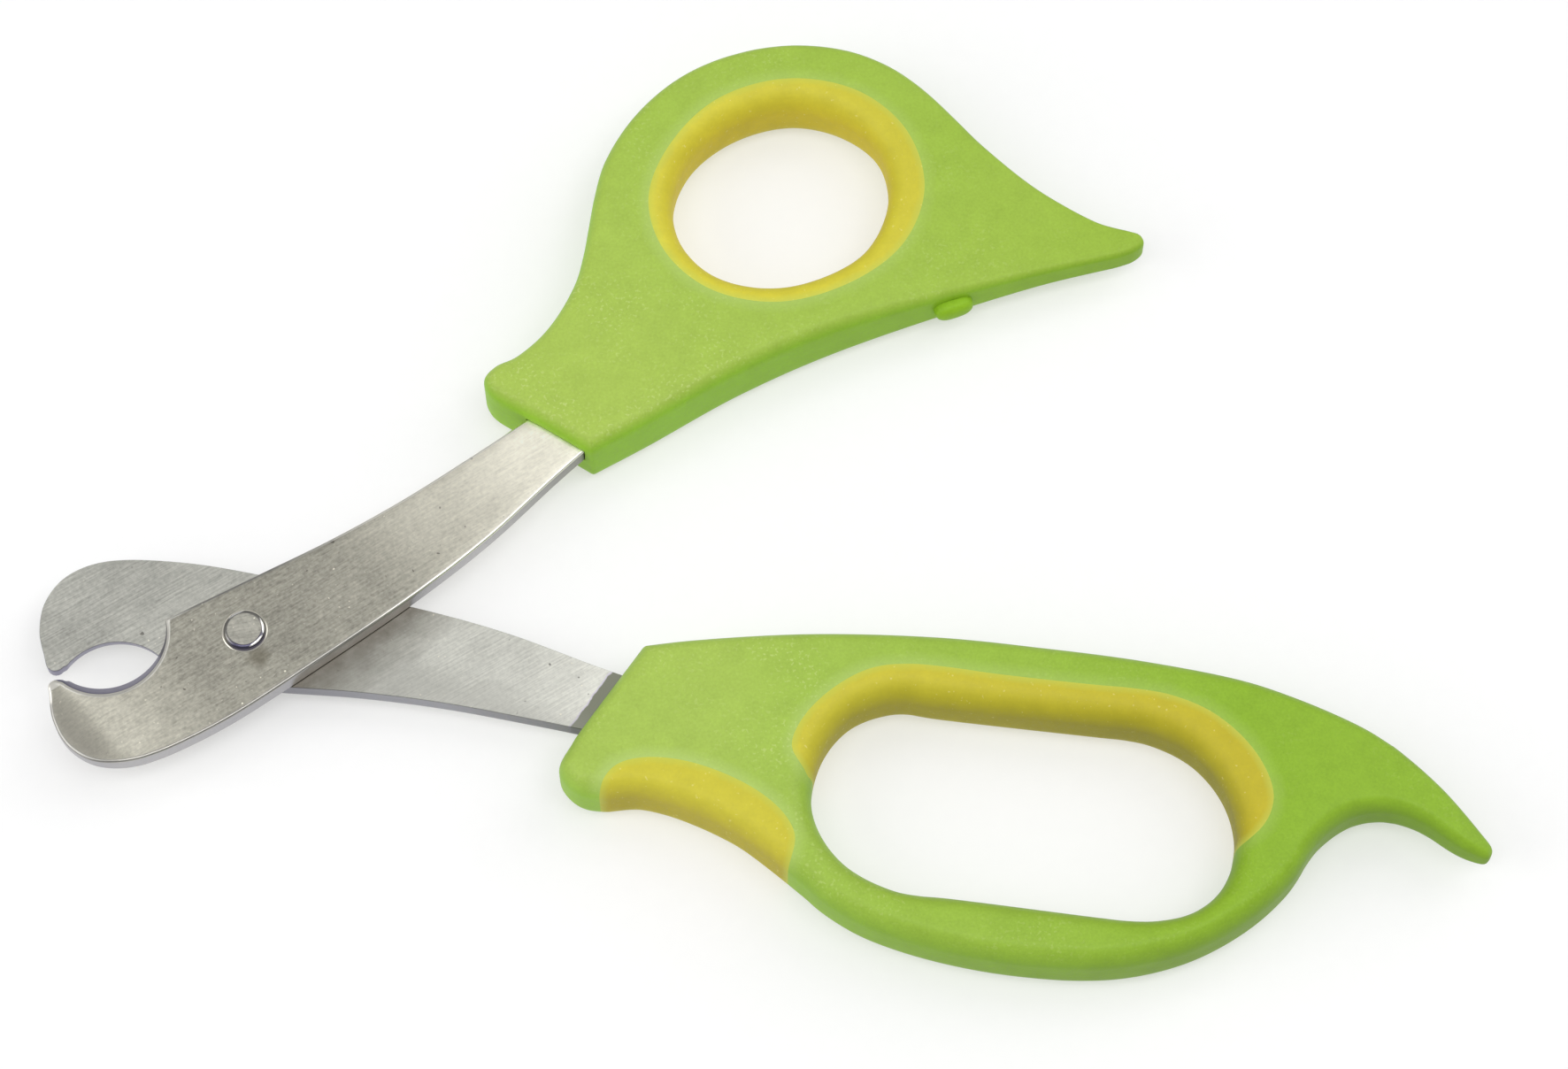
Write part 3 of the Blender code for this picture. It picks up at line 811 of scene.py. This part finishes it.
class Graph:
    """A material's node tree, written one node to a call."""

    def __init__(self, name):
        self.material = bpy.data.materials.new(name)
        self.material.use_nodes = True
        self.tree = self.material.node_tree
        self.shader = self.tree.nodes["Principled BSDF"]
        self.coords = self.tree.nodes.new("ShaderNodeTexCoord").outputs["Object"]

    def put(self, socket, value):
        """Link a socket to another one, or set it to a plain value."""
        if isinstance(value, bpy.types.NodeSocket):
            self.tree.links.new(value, socket)
        else:
            socket.default_value = value

    def fill(self, made, inputs):
        """A node, with some of its inputs linked or set."""
        for name, value in inputs.items():
            self.put(made.inputs[name.replace("_", " ")], value)
        return made

    def node(self, kind, **inputs):
        return self.fill(self.tree.nodes.new("ShaderNode" + kind), inputs)

    def math(self, operation, a, b, kind="Math", result="Value"):
        made = self.node(kind)
        made.operation = operation
        self.put(made.inputs[0], a)
        self.put(made.inputs[1], b)
        return made.outputs[result]

    def times(self, a, b):
        return self.math("MULTIPLY", a, b)

    def plus(self, a, b):
        return self.math("ADD", a, b)

    def stretched(self, angle_deg, along, across):
        """Object coordinates turned about Z and scaled, per metre, along and across."""
        turn = self.node("Mapping", Vector=self.coords, Rotation=(0, 0, -math.radians(angle_deg)))
        scale = self.node("Mapping", Vector=turn.outputs[0], Scale=(along, across, across))
        return scale.outputs[0]

    def noise(self, vector, scale, detail=2.0, roughness=0.5, distortion=0.0):
        return self.node("TexNoise", Vector=vector, Scale=scale, Detail=detail,
                         Roughness=roughness, Distortion=distortion).outputs["Fac"]

    def ramp(self, value, low, high, to_low=0.0, to_high=1.0):
        """A value mapped from one range to another, and clamped to it."""
        return self.node("MapRange", Value=value, From_Min=low, From_Max=high,
                         To_Min=to_low, To_Max=to_high).outputs[0]

    def mix(self, share, a, b, blend="MIX"):
        """Two colours mixed, or the second laid on the first by another blend."""
        made = self.tree.nodes.new("ShaderNodeMix")
        made.data_type = "RGBA"
        made.blend_type = blend
        self.put(made.inputs[0], share)
        for socket, colour in ((made.inputs[6], a), (made.inputs[7], b)):
            self.put(socket, (*colour, 1.0) if isinstance(colour, tuple) else colour)
        return made.outputs[2]

    def gain(self, value, amount):
        """A noise turned into a difference round zero, made larger or smaller."""
        return self.times(self.math("SUBTRACT", value, 0.5), amount)

    def from_pivot(self, plus=0.0, shift=(0.0, 0.0)):
        """The distance in plan, in metres, from the rivet or from a point a shift in mm off it."""
        flat = self.math("MULTIPLY", self.coords, (1.0, 1.0, 0.0), "VectorMath", "Vector")
        centre = (*((PIVOT + shift) * MM), 0.0)
        return self.plus(self.math("DISTANCE", flat, centre, "VectorMath"), plus)

    def towards(self, way):
        """How far, in metres, a point lies from the rivet along a way in plan."""
        along = self.math("DOT_PRODUCT", self.coords, (*way, 0.0), "VectorMath")
        return self.math("SUBTRACT", along, float(PIVOT @ np.array(way)) * MM)

    def attribute(self, name):
        made = self.node("Attribute")
        made.attribute_name = name
        return made.outputs["Fac"]

    def bump(self, height, strength, distance, **under):
        """A bump, on top of another one if that is given as the Normal."""
        return self.node("Bump", Height=height, Strength=strength, Distance=distance,
                         **under).outputs["Normal"]

    def finish(self, colour, roughness, normal, **uniform):
        """The material, with its varying and its uniform shader values."""
        self.fill(self.shader, {"Base Color": colour, "Roughness": roughness,
                                "Normal": normal, **uniform})
        return self.material


# The green's pale flecks and the painted glow of light along its seams, and the yellow's green
# tinge and its dust.
FLECK = (0.60, 0.70, 0.26)
SEAM_GLOW = (0.46, 0.61, 0.19)
SEAM_TINGE = (0.52, 0.58, 0.085)
DUST = (0.80, 0.76, 0.30)


def moulded_colour(g, tones, levels, start, noises, gains):
    """A grained colour with painted wall shade and painted sheen near the blades, and both shares.
    """
    (mottle, cloud, grain), (cloud_gain, grain_gain) = noises, gains
    faces, sides = tones
    # away fades the painted sheen near the blades, and walls is the share of painted wall shade.
    away = g.ramp(g.from_pivot(g.gain(mottle, 0.03)), start, 0.105)
    walls = g.ramp(g.attribute("level"), *levels, 1.0, 0.0)
    colour = g.mix(walls, g.mix(away, *faces), g.mix(away, *sides))
    tone = g.plus(g.gain(cloud, cloud_gain), g.plus(g.gain(grain, grain_gain), 1.0))
    return g.mix(1.0, colour, tone, "MULTIPLY"), away, walls


def green_plastic(name, greens, side_levels):
    """Satin polypropylene: spark-eroded grain and pale flecks, with painted shade deepening the
    rounds and tails, painted sheen near the blades and a painted glow along the seams.
    """
    g = Graph(name)
    mottle = g.noise(g.coords, 60.0, 3.0)
    cloud = g.noise(g.coords, 420.0, 4.0, 0.65)
    grain = g.noise(g.coords, 3600.0, 2.0, 0.6)
    noises = mottle, cloud, grain
    # Its walls are darkened as painted shade, and it is paler near the blades as painted sheen.
    colour, away, walls = moulded_colour(g, greens, side_levels, 0.045, noises, (0.27, 0.26))
    flecks = g.ramp(g.noise(g.coords, 2500.0, 1.0, 0.6), 0.58, 0.68)
    patches = g.ramp(g.noise(g.coords, 130.0, 2.0), 0.44, 0.66, 0.05, 0.42)
    flat = g.times(g.ramp(walls, 0.7, 0.1), g.ramp(away, 0.1, 0.9, 1.0, 0.2))
    colour = g.mix(g.times(flecks, g.times(patches, flat)), colour, FLECK)
    # A painted glow of light along the seams.
    ragged = g.plus(g.attribute("seam_mm"), g.gain(cloud, 0.9))
    seam_glow = g.times(g.ramp(ragged, 1.4, 0.1), g.ramp(away, 0.0, 0.7, 0.50, 0.22))
    colour = g.mix(g.times(seam_glow, g.ramp(walls, 0.9, 0.2, 0.2, 1.0)), colour, SEAM_GLOW)
    scuffs = g.noise(g.stretched(24.0, 90.0, 1500.0), 1.0, 3.0, 0.7)
    scratch = g.plus(g.times(scuffs, 0.5), grain)
    normal = g.bump(mottle, 0.25, 0.0003, Normal=g.bump(grain, 0.32, 0.00004))
    return g.finish(colour, g.ramp(scratch, 0.4, 1.1, 0.36, 0.52), normal,
                    Specular_IOR_Level=0.17)


def yellow_rubber(name, yellows):
    """Soft overmoulded rubber: matt, with a very fine grain, tinged green where it meets green,
    with painted shade on its walls and painted sheen near the blades.
    """
    g = Graph(name)
    mottle = g.noise(g.coords, 70.0, 3.0)
    cloud = g.noise(g.coords, 500.0, 3.0, 0.6)
    grain = g.noise(g.coords, 3000.0, 2.0)
    noises = mottle, cloud, grain
    # Its walls are darkened as painted shade between these levels, and it is paler near the blades
    # as painted sheen.
    colour = moulded_colour(g, yellows, (0.30, 0.92), 0.055, noises, (0.22, 0.12))[0]
    ragged = g.plus(g.attribute("seam_mm"), g.gain(cloud, 0.6))
    colour = g.mix(g.ramp(ragged, 0.0, 0.8, 0.65, 0.0), colour, SEAM_TINGE)
    dust = g.ramp(g.noise(g.coords, 2400.0, 1.0), 0.70, 0.78)
    colour = g.mix(g.times(dust, 0.35), colour, DUST)
    normal = g.bump(mottle, 0.3, 0.0003, Normal=g.bump(grain, 0.22, 0.00004))
    return g.finish(colour, g.ramp(grain, 0.3, 0.7, 0.50, 0.64), normal, Specular_IOR_Level=0.30)


@dataclass
class Steel:
    """How one piece of sheet steel differs from the next."""

    brushed_deg: float  # the way of the brushing, in plan
    stroke: float  # its strokes per metre along that way
    streaks: float  # how strong they are
    mottle: float  # how strong the mottling is
    tint: tuple
    shift: float  # where the noise starts, in metres
    # Painted light: sheen brightens the steel by its handle, shade darkens it round the rivet, and
    # a reflection changes its jaw; the wall and edge colours are partly painted shade.
    handle_sheen: float = 0.0  # how much brighter it is at its handle
    reach: float = 1.0  # up to how many mm from the handle
    pivot_shade: float = 0.0  # how much darker it is round the rivet
    jaw: float = 0.0  # how much brighter its jaw is
    wall: tuple = ()  # the colour of its sheared walls
    edge: tuple = ()  # the painted shade on its outer edge's rounding away from the painted highlight


FRONT_STEEL = Steel(
    brushed_deg=33.0, stroke=900.0, streaks=0.60, mottle=0.74, tint=(0.415, 0.402, 0.342),
    shift=0.0, handle_sheen=1.38, reach=23.0, pivot_shade=0.10, jaw=0.40, wall=(0.40, 0.395, 0.42),
    edge=(0.32, 0.315, 0.30))
REAR_STEEL = Steel(
    brushed_deg=31.0, stroke=300.0, streaks=0.62, mottle=0.52, tint=(0.500, 0.500, 0.455),
    shift=0.7, handle_sheen=0.52, reach=36.0, jaw=-0.08, wall=(0.235, 0.235, 0.275),
    edge=(0.22, 0.22, 0.25))
RIVET_STEEL = Steel(
    brushed_deg=12.0, stroke=400.0, streaks=0.60, mottle=0.80, tint=(0.42, 0.41, 0.36), shift=1.3)

# Colours on the steel: specks and pin dots, the rear blade's strip, tinted as a painted reflection,
# and its painted highlight edge, its painted shade low down and the painted shadow of the front
# blade, the front blade's stain and its facet's painted shade, the notch bevel's painted shade, and
# the painted edge highlight.
SPECK = (1.0, 0.96, 0.82)
PIN_DOT = (0.10, 0.09, 0.08)
STRIP = (0.245, 0.255, 0.195)
STRIP_HIGHLIGHT = (0.70, 0.66, 0.74)
LOWER_SHADE = (0.36, 0.36, 0.33)
FRONT_BLADE_SHADOW = (0.17, 0.155, 0.125)
STAIN = (0.15, 0.135, 0.095)
FACET_SHADE = (0.22, 0.21, 0.185)
BEVEL_SHADE = (0.155, 0.143, 0.245)
EDGE_HIGHLIGHT = (0.97, 0.95, 0.88)
BLACK = (0.0, 0.0, 0.0)

# Where the stain is, from the rivet in mm, and the ways in plan across the front blade and across
# the rear blade to its lower edge.
STAIN_AT = (1.3, -2.7)
ACROSS_FRONT = (0.596, -0.803)
ACROSS_REAR = (-0.346, -0.938)


def steel_surface(g, steel):
    """The colour, roughness and bump of brushed sheet steel, with streaks, mottling and specks, and
    painted shade, sheen and reflection by the rivet, handle and jaw.
    """
    shift = (steel.shift, steel.shift, 0.0)
    place = g.node("Mapping", Vector=g.coords, Location=shift).outputs[0]
    streaks = g.noise(g.stretched(steel.brushed_deg, steel.stroke, 6500.0), 1.0, 1.0, 0.5)
    lines = g.noise(g.stretched(steel.brushed_deg, 25.0, 5000.0), 1.0, 0.0)
    mottle = g.noise(place, 2600.0, 2.0, 0.6)
    smoke = g.noise(place, 150.0, 4.0, 0.6)
    tone = g.plus(g.gain(streaks, steel.streaks), g.gain(mottle, steel.mottle))
    tone = g.plus(tone, g.gain(lines, 0.20))
    tone = g.plus(tone, g.gain(smoke, 0.55))
    # Painted shade round the rivet, painted sheen by the handle, and a painted reflection on the
    # jaw.
    near_pivot = g.ramp(g.from_pivot(), 0.004, 0.015, -steel.pivot_shade, 0.0)
    from_mouth = g.attribute("mouth_mm")
    near_mouth = g.ramp(from_mouth, 1.0, steel.reach, steel.handle_sheen, 0.0)
    on_jaw = g.ramp(from_mouth, 42.0, 50.0, 1.0, 1.0 + steel.jaw)
    tone = g.plus(g.plus(tone, near_pivot), g.plus(near_mouth, on_jaw))
    colour = g.mix(1.0, steel.tint, tone, "MULTIPLY")
    specks = g.ramp(g.noise(place, 2900.0, 0.0), 0.78, 0.84)
    colour = g.mix(g.times(specks, g.ramp(smoke, 0.45, 0.6)), colour, SPECK)
    dots = g.ramp(g.noise(place, 1500.0, 0.0, 0.5, 0.4), 0.165, 0.13)
    colour = g.mix(g.times(dots, 0.7), colour, PIN_DOT)
    return colour, g.ramp(mottle, 0.3, 0.7, 0.32, 0.28), g.bump(streaks, 0.03, 0.00003)


def front_marks(g, colour, from_mouth):
    """The front blade's stain by the rivet, and the painted shade on its facet."""
    stained = g.from_pivot(g.gain(g.noise(g.coords, 900.0, 2.0), 0.0016), STAIN_AT)
    colour = g.mix(g.ramp(stained, 0.0004, 0.0015, 0.65, 0.0), colour, STAIN)
    # The facet is darkened as painted shade.
    facet_shade_share = g.times(g.attribute("facet"), g.ramp(from_mouth, 43.0, 52.0, 0.25, 0.50))
    return g.mix(facet_shade_share, colour, FACET_SHADE)


def rear_marks(g, colour, from_mouth):
    """The rear blade's dark strip with its painted highlight edge, its painted shade towards the
    lower edge, and the painted shadow of the front blade.
    """
    # The strip by the handle is unground steel tinted as a painted reflection of the handle, with a
    # painted highlight along its edge.
    strip = g.plus(from_mouth, g.gain(g.noise(g.coords, 900.0, 2.0), 0.45))
    colour = g.mix(g.ramp(strip, 1.78, 1.66), colour, STRIP_HIGHLIGHT)
    colour = g.mix(g.ramp(strip, 1.62, 1.52), colour, STRIP)
    # Painted shade darkens it towards its lower edge.
    low = g.ramp(g.towards(ACROSS_REAR), -0.0048, -0.0020, 0.0, 0.42)
    colour = g.mix(g.times(low, g.ramp(from_mouth, 34.0, 26.0)), colour, LOWER_SHADE)
    # The painted shadow of the front blade falls beside its edge.
    ragged = g.gain(g.noise(g.coords, 500.0, 4.0, 0.7), 0.003)
    spread = g.plus(g.towards(ACROSS_FRONT), ragged)
    blade_shadow = g.times(g.ramp(spread, 0.001, 0.004), g.ramp(spread, 0.0122, 0.0072))
    blade_shadow = g.times(blade_shadow, g.ramp(from_mouth, 8.0, 22.0, 0.25, 0.92))
    return g.mix(blade_shadow, colour, FRONT_BLADE_SHADOW)


def blade_steel(name, steel, marks):
    """A blade: brushed faces with marks, sheared walls partly in painted shade, an arris with a
    painted highlight, and a notch bevel in painted shade.
    """
    g = Graph(name)
    colour, roughness, normal = steel_surface(g, steel)
    from_mouth = g.attribute("mouth_mm")
    rise = g.attribute("rise")
    wall = g.times(g.ramp(rise, 0.0, 0.05), g.ramp(rise, 0.87, 0.93, 1.0, 0.0))
    # The arris carries a painted highlight near the handle and along the notch, and painted shade
    # elsewhere.
    arris = g.times(g.ramp(rise, 0.88, 0.93), g.ramp(g.attribute("in_mm"), 0.10, 0.0))
    edge_highlight_share = g.ramp(from_mouth, 19.0, 29.0, 1.0, 0.0)
    bright = g.math("MAXIMUM", edge_highlight_share, g.attribute("notch"))
    colour = marks(g, colour, from_mouth)
    edge = g.mix(bright, steel.edge, EDGE_HIGHLIGHT)
    colour = g.mix(g.times(arris, 0.75), colour, edge)
    # The walls are partly their sheared finish and partly painted shade, going black near the
    # handle as its painted shadow.
    shaded = g.mix(g.ramp(from_mouth, 1.0, 14.0, 0.30, 1.0), BLACK, steel.wall)
    colour = g.mix(g.times(wall, 0.85), colour, shaded)
    # The notch's bevel is darkened as painted shade.
    bevel = g.times(wall, g.attribute("notch"))
    colour = g.mix(g.times(bevel, 0.90), colour, BEVEL_SHADE)
    return g.finish(colour, roughness, normal, Metallic=1.0)


# The rivet's rim in painted shade, the ways in plan that its front painted shade and its painted
# glints face, and the paler collar below.
RIM_SHADE = (0.20, 0.195, 0.19)
SHADE_SIDE = (0.30, -0.95)
FRONT_RIM_SHADE = (0.085, 0.080, 0.125)
GLINT_SIDES = ((0.97, 0.24), (0.71, -0.71), (-0.50, 0.87))
GLINT = (1.0, 0.99, 0.95)
PALE_COLLAR = (0.62, 0.60, 0.52)


def rivet_steel():
    """The rivet: a brushed disc, and a rolled rim in painted shade, darkest in front, with painted
    glints.
    """
    g = Graph("rivet_steel")
    colour, roughness, normal = steel_surface(g, RIVET_STEEL)
    out = g.from_pivot()
    # The rolled rim is darkened as painted shade, most in front, and carries painted glints.
    rim = g.ramp(out, 0.00166, 0.00174)
    colour = g.mix(g.times(rim, 0.75), colour, RIM_SHADE)
    ring = g.times(g.ramp(out, 0.00176, 0.00181), g.ramp(out, 0.00201, 0.00196))
    front = g.ramp(g.towards(SHADE_SIDE), 0.0004, 0.0013)
    colour = g.mix(g.times(rim, front), colour, FRONT_RIM_SHADE)
    for side in GLINT_SIDES:
        glint = g.times(g.ramp(g.towards(side), 0.00172, 0.00180), ring)
        colour = g.mix(glint, colour, GLINT)
    colour = g.mix(g.ramp(out, 0.00210, 0.00216), colour, PALE_COLLAR)
    return g.finish(colour, roughness, normal, Metallic=1.0)


def floor_paper():
    """A plain pale studio floor, lit a little from below like a light table."""
    g = Graph("floor_paper")
    fibre = g.noise(g.coords, 600.0, 2.0)
    colour = g.mix(fibre, (0.49, 0.49, 0.49), (0.51, 0.51, 0.51))
    return g.finish(colour, 0.9, g.bump(fibre, 0.05, 0.00005), Specular_IOR_Level=0.1,
                    Emission_Color=(1.0, 1.0, 1.0, 1.0), Emission_Strength=0.46)


# ---- the assembly

def add_piece(piece, body, node, finish):
    """Give a piece its finish and its body, and let it stand for its CAD node."""
    piece.data.materials.clear()
    piece.data.materials.append(finish)
    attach(piece, body)
    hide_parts(node)


def make_trimmer():
    """Every visible piece, with its finish."""
    (thumb_handle, thumb_ring), thumb_outline = thumb_mouldings()
    (finger_handle, finger_loop, index_rest), finger_outline = finger_mouldings()
    thumb_blade = blade("thumb_blade", "thumb_blade_steel", thumb_outline, True)
    finger_blade = blade("finger_blade", "finger_blade_steel", finger_outline, False)
    thumb_green = green_plastic("thumb_green_plastic", THUMB_GREENS, THUMB_SIDE_LEVELS)
    finger_green = green_plastic("finger_green_plastic", FINGER_GREENS, FINGER_SIDE_LEVELS)
    thumb_yellow = yellow_rubber("thumb_yellow_rubber", THUMB_YELLOWS)
    finger_yellow = yellow_rubber("finger_yellow_rubber", FINGER_YELLOWS)
    front = blade_steel("front_blade_steel", FRONT_STEEL, front_marks)
    rear = blade_steel("rear_blade_steel", REAR_STEEL, rear_marks)
    add_piece(thumb_blade, "thumb_half", "thumb_blade", front)
    add_piece(finger_blade, "finger_half", "finger_blade", rear)
    add_piece(rivet(), "finger_half", "pivot_rivet", rivet_steel())
    add_piece(thumb_handle, "thumb_half", "thumb_handle", thumb_green)
    add_piece(thumb_ring, "thumb_half", "thumb_ring_grip", thumb_yellow)
    add_piece(finger_handle, "finger_half", "finger_handle", finger_green)
    add_piece(finger_loop, "finger_half", "finger_loop_grip", finger_yellow)
    add_piece(index_rest, "finger_half", "index_rest_grip", finger_yellow)


make_trimmer()

# ---- floor, light and camera

# The camera looks at the target from this elevation and this far off.
VIEW_ELEVATION = math.radians(67.0)
VIEW_DISTANCE = 0.48
VIEW_TARGET = Vector((PIVOT[0] + 54.21, PIVOT[1] + 11.39, MIDDLE)) * MM
LENS_MM = 108.2

FLOOR_SIZE = 4.0
FLOOR_HEIGHT = -0.0002
WORLD_STRENGTH = 0.42

# The softboxes, which face the origin: place and size in metres, and power in watts.
SOFTBOXES = (
    ("right_softbox", (0.80, 0.45, 0.75), (0.8, 1.0), 4.3),
    ("top_softbox", (0.05, -0.20, 0.85), (0.9, 0.35), 3.2),
    ("left_softbox", (-0.75, -0.20, 0.50), (0.6, 0.6), 2.6),
    ("blade_softbox", (0.02, 0.31, 0.80), (0.13, 0.34), 0.16),
    ("jaw_softbox", (-0.235, 0.29, 0.80), (0.10, 0.20), 0.12),
)


def make_camera():
    lens = bpy.data.cameras.new("camera")
    lens.lens = LENS_MM
    made = placed("camera", lens)
    back = Vector((0.0, -math.cos(VIEW_ELEVATION), math.sin(VIEW_ELEVATION)))
    made.location = VIEW_TARGET + back * VIEW_DISTANCE
    made.rotation_euler = (math.pi / 2 - VIEW_ELEVATION, 0.0, 0.0)
    bpy.context.scene.camera = made


def make_floor():
    bpy.ops.mesh.primitive_plane_add(size=FLOOR_SIZE, location=(0, 0, FLOOR_HEIGHT))
    floor = bpy.context.object
    floor.name = "floor"
    floor.data.materials.append(floor_paper())


def make_world():
    world = bpy.data.worlds.new("studio")
    world.use_nodes = True
    background = world.node_tree.nodes["Background"]
    background.inputs["Color"].default_value = (1, 1, 1, 1)
    background.inputs["Strength"].default_value = WORLD_STRENGTH
    bpy.context.scene.world = world


def make_softbox(name, location, size, power):
    data = bpy.data.lights.new(name, "AREA")
    data.shape = "RECTANGLE"
    data.size, data.size_y = size
    data.energy = power
    made = placed(name, data)
    made.location = location
    made.rotation_euler = (-Vector(location)).to_track_quat("-Z", "Y").to_euler()


make_camera()
make_floor()
make_world()
for softbox in SOFTBOXES:
    make_softbox(*softbox)
bpy.context.scene.view_settings.view_transform = "Standard"
